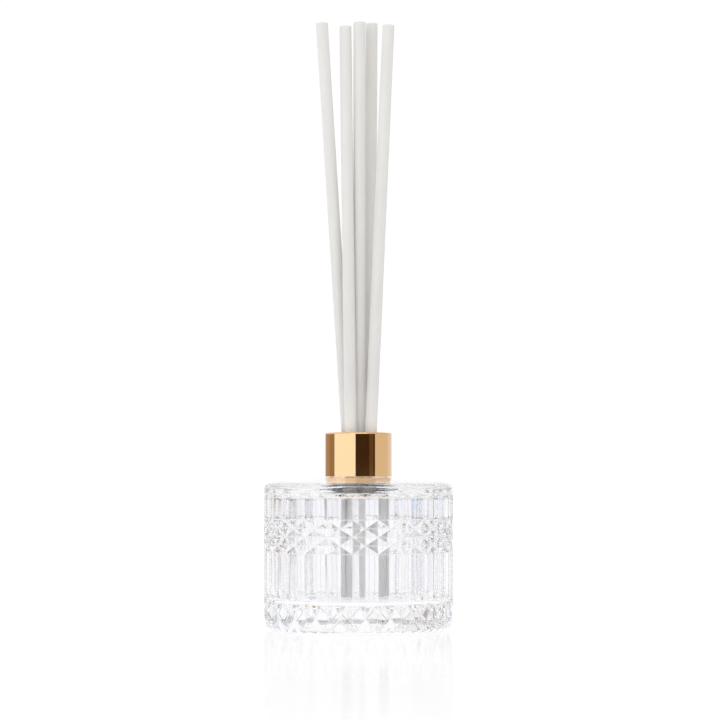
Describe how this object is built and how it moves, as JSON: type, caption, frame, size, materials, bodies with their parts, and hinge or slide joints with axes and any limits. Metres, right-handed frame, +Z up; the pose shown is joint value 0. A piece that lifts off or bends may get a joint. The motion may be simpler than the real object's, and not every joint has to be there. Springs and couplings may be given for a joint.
{
  "type": "reed diffuser",
  "caption": "Free-standing reed diffuser: a cut-glass bottle with a screw collar whose open top holds leaning fibre reeds that draw fragrance up.",
  "frame": {"origin": "centre of the bottle's rest face", "axes": "+Z up along the bottle's axis, -Y towards the viewer"},
  "size_m": [0.0778, 0.0778, 0.2522],
  "materials": {
    "glass": "clear polished glass",
    "gold_collar": "polished gold anodised",
    "liner_plastic": "moulded natural polypropylene",
    "washer_foam": "soft closed-cell foam",
    "reed_fibre": "matt white bonded fibre"
  },
  "bodies": {
    "bottle": {"glass_bottle": "glass"},
    "washer": {"neck_washer": "washer_foam"},
    "collar": {"collar_shell": "gold_collar", "collar_liner": "liner_plastic"},
    "reed_1": {"reed_1": "reed_fibre"},
    "reed_2": {"reed_2": "reed_fibre"},
    "reed_3": {"reed_3": "reed_fibre"},
    "reed_4": {"reed_4": "reed_fibre"},
    "reed_5": {"reed_5": "reed_fibre"}
  },
  "joints": [
    {"name": "collar_lift", "type": "slide", "parent": "bottle", "child": "washer", "axis": [0, 0, 1], "range_m": [0, 0.00476]},
    {"name": "collar_turn", "type": "hinge", "parent": "washer", "child": "collar", "pos_m": [0, 0, 0.0716], "axis": [0, 0, 1], "range_deg": [0, 540]},
    {"name": "reed_1_pull", "type": "slide", "parent": "bottle", "child": "reed_1", "axis": [-0.0621, -0.0471, 0.997], "range_m": [0, 0.066]},
    {"name": "reed_2_pull", "type": "slide", "parent": "bottle", "child": "reed_2", "axis": [-0.0129, 0.0172, 0.9998], "range_m": [0, 0.066]},
    {"name": "reed_3_pull", "type": "slide", "parent": "bottle", "child": "reed_3", "axis": [0, -0.0158, 0.9999], "range_m": [0, 0.066]},
    {"name": "reed_4_pull", "type": "slide", "parent": "bottle", "child": "reed_4", "axis": [0.0064, -0.005, 1], "range_m": [0, 0.066]},
    {"name": "reed_5_pull", "type": "slide", "parent": "bottle", "child": "reed_5", "axis": [0.0437, -0.0029, 0.999], "range_m": [0, 0.066]}
  ],
  "couplings": [
    {"joint": "collar_lift", "follows": "collar_turn", "m_per_rad": 0.00050532}
  ]
}
